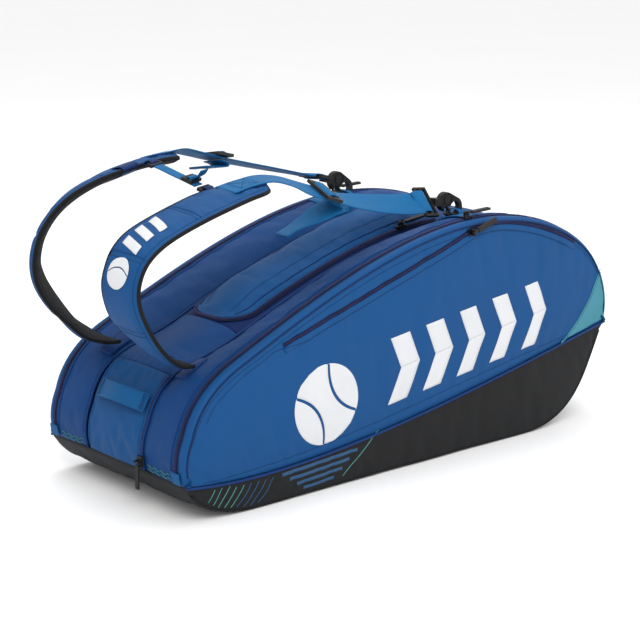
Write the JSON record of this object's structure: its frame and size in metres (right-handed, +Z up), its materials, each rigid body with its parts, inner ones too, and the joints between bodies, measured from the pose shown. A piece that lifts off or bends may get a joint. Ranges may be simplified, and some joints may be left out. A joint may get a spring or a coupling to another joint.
{
  "type": "racket tournament bag",
  "caption": "Long padded racket bag with hinged side covers, a top pocket, a shoe compartment and two hooked shoulder straps.",
  "frame": {"origin": "middle of the flat base, on the surface the bag stands on", "axes": "+X from the tail end (shoe compartment) to the broad head end, +Y from the front cover to the rear cover, +Z up"},
  "size_m": [0.8339, 0.2929, 0.4137],
  "materials": {
    "body_cloth": "woven polyester, satin",
    "top_cloth": "woven polyester, satin",
    "lower_cloth": "coated polyester, matt",
    "light_cloth": "coated polyester, satin",
    "lining": "smooth lining, matt",
    "webbing": "ribbed webbing",
    "mesh": "air mesh, matt",
    "piping": "bound piping",
    "zip": "coil zip",
    "hardware": "moulded, fine grain",
    "slider_metal": "black enamel",
    "puller": "moulded cord pull",
    "board": "ribbed sheet"
  },
  "bodies": {
    "bag": {"base_panel": "lower_cloth", "front_lower_panel": "lower_cloth", "rear_lower_panel": "lower_cloth", "base_board": "board", "front_gusset": "top_cloth", "rear_gusset": "top_cloth", "crown_panel": "top_cloth", "pocket_side_strips": "top_cloth", "tail_top_panel": "top_cloth", "front_divider": "lining", "rear_divider": "lining", "shoe_liner": "lining", "seam_piping": "piping", "valley_piping": "piping", "front_zip_chain": "zip", "rear_zip_chain": "zip", "top_zip_chain": "zip", "shoe_zip_chain": "zip", "strap_anchor_tabs": "piping", "hook_anchors": "piping"},
    "front_cover": {"front_cover": "body_cloth", "front_cover_lining": "lining", "front_corner_patch": "light_cloth", "front_pocket_flap": "body_cloth", "front_pocket_zip": "zip"},
    "rear_cover": {"rear_cover": "body_cloth", "rear_cover_lining": "lining", "rear_corner_patch": "light_cloth"},
    "top_lid": {"top_lid": "top_cloth"},
    "shoe_door": {"shoe_door": "top_cloth"},
    "tail_handle": {"tail_handle": "webbing"},
    "front_strap": {"front_strap_pad": "body_cloth", "front_strap_lining": "mesh", "front_strap_webbing": "webbing", "front_chest_glide": "hardware", "front_swivel_loop": "hardware"},
    "rear_strap": {"rear_strap_pad": "body_cloth", "rear_strap_lining": "mesh", "rear_strap_webbing": "webbing", "rear_chest_glide": "hardware", "rear_swivel_loop": "hardware"},
    "front_lock": {"front_lock_frame": "hardware", "front_webbing_tail": "webbing"},
    "rear_lock": {"rear_lock_frame": "hardware", "rear_webbing_tail": "webbing"},
    "front_hook": {"front_hook": "hardware"},
    "rear_hook": {"rear_hook": "hardware"},
    "front_gate": {"front_hook_gate": "hardware"},
    "rear_gate": {"rear_hook_gate": "hardware"},
    "chest_strap": {"chest_strap": "webbing", "chest_adjuster": "hardware"},
    "front_slider": {"front_zip_slider": "slider_metal"},
    "front_puller": {"front_zip_puller": "puller"},
    "rear_slider": {"rear_zip_slider": "slider_metal"},
    "rear_puller": {"rear_zip_puller": "puller"},
    "pocket_slider": {"pocket_zip_slider": "slider_metal"},
    "pocket_puller": {"pocket_zip_puller": "puller"},
    "top_slider": {"top_zip_slider": "slider_metal"},
    "top_puller": {"top_zip_puller": "puller"},
    "shoe_slider": {"shoe_zip_slider": "slider_metal"}
  },
  "joints": [
    {"name": "front_cover_hinge", "type": "hinge", "parent": "bag", "child": "front_cover", "pos_m": [0, -0.14, 0.079], "axis": [0.9917, 0, 0.1289], "range_deg": [0, 45]},
    {"name": "rear_cover_hinge", "type": "hinge", "parent": "bag", "child": "rear_cover", "pos_m": [0, 0.14, 0.079], "axis": [-0.9917, 0, -0.1289], "range_deg": [0, 45]},
    {"name": "top_lid_hinge", "type": "hinge", "parent": "bag", "child": "top_lid", "pos_m": [-0.04505, 0.0475, 0.27136], "axis": [-0.9633, 0, -0.2684], "range_deg": [0, 55]},
    {"name": "shoe_door_hinge", "type": "hinge", "parent": "bag", "child": "shoe_door", "pos_m": [-0.3656, 0.0555, 0.1116], "axis": [-0.3339, 0, -0.9426], "range_deg": [0, 60]},
    {"name": "tail_handle_hinge", "type": "hinge", "parent": "shoe_door", "child": "tail_handle", "pos_m": [-0.3655, 0, 0.1325], "axis": [0, 1, 0], "range_deg": [-18, 18]},
    {"name": "rear_strap_swing", "type": "hinge", "parent": "bag", "child": "rear_strap", "pos_m": [-0.32, 0.075, 0.173], "axis": [0.9236, -0.0269, 0.3824], "range_deg": [-12, 12]},
    {"name": "front_strap_swing", "type": "hinge", "parent": "bag", "child": "front_strap", "pos_m": [-0.32, -0.075, 0.173], "axis": [0.9564, 0.0228, 0.2911], "range_deg": [-14, 14]},
    {"name": "chest_strap_turn", "type": "hinge", "parent": "rear_strap", "child": "chest_strap", "pos_m": [-0.285, 0.029, 0.4005], "axis": [0.9236, -0.0269, 0.3824], "range_deg": [-13, 13]},
    {"name": "front_lock_slide", "type": "slide", "parent": "front_strap", "child": "front_lock", "axis": [0.9511, 0, -0.309], "range_m": [-0.012, 0.012]},
    {"name": "rear_lock_slide", "type": "slide", "parent": "rear_strap", "child": "rear_lock", "axis": [0.9703, 0, -0.2419], "range_m": [-0.012, 0.012]},
    {"name": "front_hook_swivel", "type": "hinge", "parent": "front_strap", "child": "front_hook", "pos_m": [0.097, -0.064, 0.326], "axis": [0.9962, 0, -0.0872], "range_deg": [-8, 8]},
    {"name": "rear_hook_swivel", "type": "hinge", "parent": "rear_strap", "child": "rear_hook", "pos_m": [0.017, 0.064, 0.349], "axis": [0.9703, 0, -0.2419], "range_deg": [-8, 8]},
    {"name": "front_gate_hinge", "type": "hinge", "parent": "front_hook", "child": "front_gate", "pos_m": [0.12153, -0.064, 0.31954], "axis": [0, -1, 0], "range_deg": [0, 25], "stiffness_Nm_per_rad": 0.02, "springref_deg": -17.19},
    {"name": "rear_gate_hinge", "type": "hinge", "parent": "rear_hook", "child": "rear_gate", "pos_m": [0.04022, 0.064, 0.33878], "axis": [0, -1, 0], "range_deg": [0, 25], "stiffness_Nm_per_rad": 0.02, "springref_deg": -17.19},
    {"name": "front_slider_travel", "type": "hinge", "parent": "bag", "child": "front_slider", "pos_m": [0.12, -0.1255, -0.248], "axis": [0, 1, 0], "range_deg": [-16, 4]},
    {"name": "front_puller_hinge", "type": "hinge", "parent": "front_slider", "child": "front_puller", "pos_m": [0.10016, -0.1255, 0.32005], "axis": [0, 1, 0], "range_deg": [-150, 0]},
    {"name": "rear_slider_travel", "type": "hinge", "parent": "bag", "child": "rear_slider", "pos_m": [0.12, 0.1255, -0.248], "axis": [0, 1, 0], "range_deg": [-16, 4]},
    {"name": "rear_puller_hinge", "type": "hinge", "parent": "rear_slider", "child": "rear_puller", "pos_m": [0.10016, 0.1255, 0.32005], "axis": [0, 1, 0], "range_deg": [-150, 0]},
    {"name": "pocket_slider_travel", "type": "slide", "parent": "front_cover", "child": "pocket_slider", "axis": [-0.9535, 0, -0.3013], "range_m": [0, 0.24]},
    {"name": "pocket_puller_hinge", "type": "hinge", "parent": "pocket_slider", "child": "pocket_puller", "pos_m": [0.09237, -0.1484, 0.29859], "axis": [0.3013, 0, -0.9535], "range_deg": [0, 150]},
    {"name": "top_slider_travel", "type": "hinge", "parent": "bag", "child": "top_slider", "pos_m": [0.12, -0.0524, -0.248], "axis": [0, 1, 0], "range_deg": [-14, 0]},
    {"name": "top_puller_hinge", "type": "hinge", "parent": "top_slider", "child": "top_puller", "pos_m": [0.05253, -0.0524, 0.30147], "axis": [0, 1, 0], "range_deg": [-40, 0]},
    {"name": "shoe_slider_travel", "type": "slide", "parent": "bag", "child": "shoe_slider", "axis": [0, 0, 1], "range_m": [0, 0.03]}
  ],
  "couplings": [
    {"joint": "front_strap_swing", "follows": "rear_strap_swing", "ratio": 1.087},
    {"joint": "chest_strap_turn", "follows": "rear_strap_swing", "ratio": -1}
  ]
}
